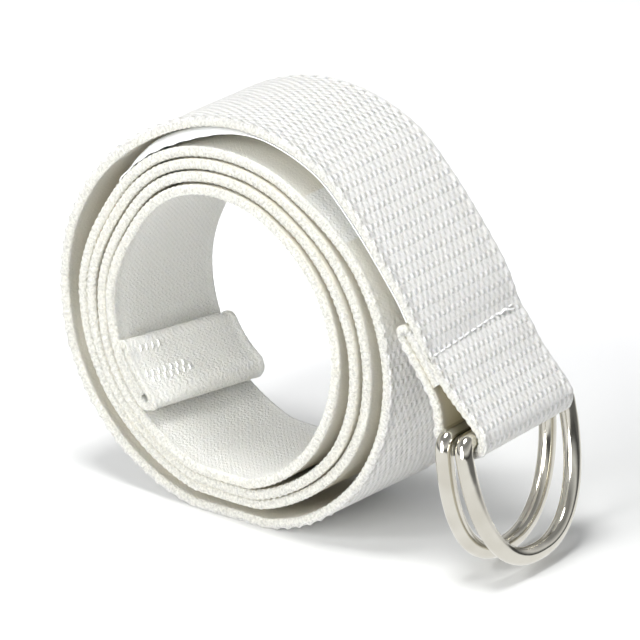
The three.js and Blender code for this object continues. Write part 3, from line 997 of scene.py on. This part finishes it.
# The floor, the lights and the air round them
studio = {
    "floorSize": 16.0,
    "floor": (0.72, 0.725, 0.715),  # painted shade: darker around the coil so its shadow shows deep, just bright enough to come out white where nothing shades it
    "floorFar": (0.97, 0.97, 0.97),  # painted light: paler behind it, where the lights reach less
    "floorBounce": (0.95, 0.95, 0.955),  # painted light: the floor paler as the cloth's underside sees it, so more light bounces up
    "keyPower": 7.5,
    "keySize": 0.35,
    "keyPlace": (0.0, -0.18, 1.0),
    "fillPower": 12.8,
    "fillPlace": (0.16, -1.06, 0.29),
    "fillSize": 0.75,
    "frontPower": 3.2,  # reaches the floor of the coil
    "frontPlace": (-0.12, -0.76, 0.62),
    "frontSize": 0.25,
    "air": 0.37,
    "bounces": 12,
    "airColour": (0.975, 0.99, 1.03),
    # what polished metal mirrors, by the height of the direction
    "room": [(0.0, 0.06), (0.09, 0.08), (0.32, 0.75), (0.75, 0.25), (1.0, 0.30)],
    "mirrorPale": 0.98,
    "mirrorDark": 0.15,  # and a painted reflection of a floor that is pale only near the object's front, glowing for mirror rays alone
}


def makeFloor():
    # one flat square; its colour turns from floor to floorFar with the distance behind and beside the coil, painted
    # shade near it and painted light further off; diffuse rays see it paler, as painted light; polished metal
    # mirrors a painted reflection, pale in front and dark to the right
    mesh = bpy.data.meshes.new("floor")
    corners = np.array([(-1, -1, 0), (1, -1, 0), (1, 1, 0), (-1, 1, 0)]) * studio["floorSize"] / 2
    mesh.from_pydata(corners.tolist(), [], [(0, 1, 2, 3)])
    material, tree, shader = newMaterial("paleFloor")
    shader.inputs["Roughness"].default_value = 0.9
    ray = tree.nodes.new("ShaderNodeLightPath")
    place = tree.nodes.new("ShaderNodeSeparateXYZ")
    tree.links.new(placeNode(tree), place.inputs[0])
    away = scaled(tree, place.outputs["X"], -0.62, mathNode(tree, "MULTIPLY", place.outputs["Y"], 0.79))
    sideways = scaled(tree, place.outputs["X"], 0.79, mathNode(tree, "MULTIPLY", place.outputs["Y"], 0.62))
    far = mathNode(tree, "ADD", between(tree, away, 0.0, 0.16), between(tree, sideways, 0.085, 0.16))
    seen = mixNode(tree, far, studio["floor"], studio["floorFar"], "RGBA")
    colour = mixNode(tree, ray.outputs["Is Diffuse Ray"], seen, studio["floorBounce"], "RGBA")
    tree.links.new(colour, shader.inputs["Base Color"])
    pale, dark = (studio["mirrorPale"],) * 3, (studio["mirrorDark"],) * 3
    # painted reflection: the floor glows for mirror rays alone, pale in front and dark to the right
    mirrored = tree.nodes.new("ShaderNodeEmission")
    share = between(tree, sideways, 0.10, 0.30)
    tree.links.new(mixNode(tree, share, pale, dark, "RGBA"), mirrored.inputs["Color"])
    mix = tree.nodes.new("ShaderNodeMixShader")
    tree.links.new(ray.outputs["Is Glossy Ray"], mix.inputs[0])
    tree.links.new(shader.outputs[0], mix.inputs[1])
    tree.links.new(mirrored.outputs[0], mix.inputs[2])
    tree.links.new(mix.outputs[0], tree.nodes["Material Output"].inputs["Surface"])
    mesh.materials.append(material)
    floor = bpy.data.objects.new("floor", mesh)
    bpy.context.scene.collection.objects.link(floor)


def areaLight(name, place, target, power, size):
    # a round lamp at its place, turned to look along target minus place
    data = bpy.data.lights.new(name, "AREA")
    data.shape = "DISK"
    data.size = size
    data.energy = power
    light = bpy.data.objects.new(name, data)
    bpy.context.scene.collection.objects.link(light)
    light.location = place
    light.rotation_euler = (Vector(target) - Vector(place)).to_track_quat("-Z", "Y").to_euler()


def lightStudio():
    # even air for everything but mirrors, which see the room's bands by height; then the three lamps
    scene = bpy.context.scene
    scene.view_settings.view_transform = "Standard"
    # enough bounces for light to find its way between the laps
    scene.cycles.max_bounces = scene.cycles.diffuse_bounces = studio["bounces"]
    world = bpy.data.worlds.new("air")
    scene.world = world
    world.use_nodes = True
    tree = world.node_tree
    background = tree.nodes["Background"]
    background.inputs["Color"].default_value = (*studio["airColour"], 1)
    background.inputs["Strength"].default_value = studio["air"]
    direction = tree.nodes.new("ShaderNodeSeparateXYZ")
    tree.links.new(tree.nodes.new("ShaderNodeTexCoord").outputs["Generated"], direction.inputs[0])
    stops = [(height, (shade,) * 3) for height, shade in studio["room"]]
    band = rampNode(tree, direction.outputs["Z"], [stops[0], stops[-1]] + stops[1:-1])
    room = tree.nodes.new("ShaderNodeBackground")
    tree.links.new(band, room.inputs["Color"])
    mix = tree.nodes.new("ShaderNodeMixShader")
    tree.links.new(tree.nodes.new("ShaderNodeLightPath").outputs["Is Glossy Ray"], mix.inputs[0])
    tree.links.new(background.outputs[0], mix.inputs[1])
    tree.links.new(room.outputs[0], mix.inputs[2])
    tree.links.new(mix.outputs[0], tree.nodes["World Output"].inputs["Surface"])
    for name, height in (("key", 0.03), ("fill", 0.04), ("front", 0.02)):
        areaLight(name, studio[name + "Place"], (0, 0, height), studio[name + "Power"], studio[name + "Size"])


makeFloor()
lightStudio()
print("studio lit")
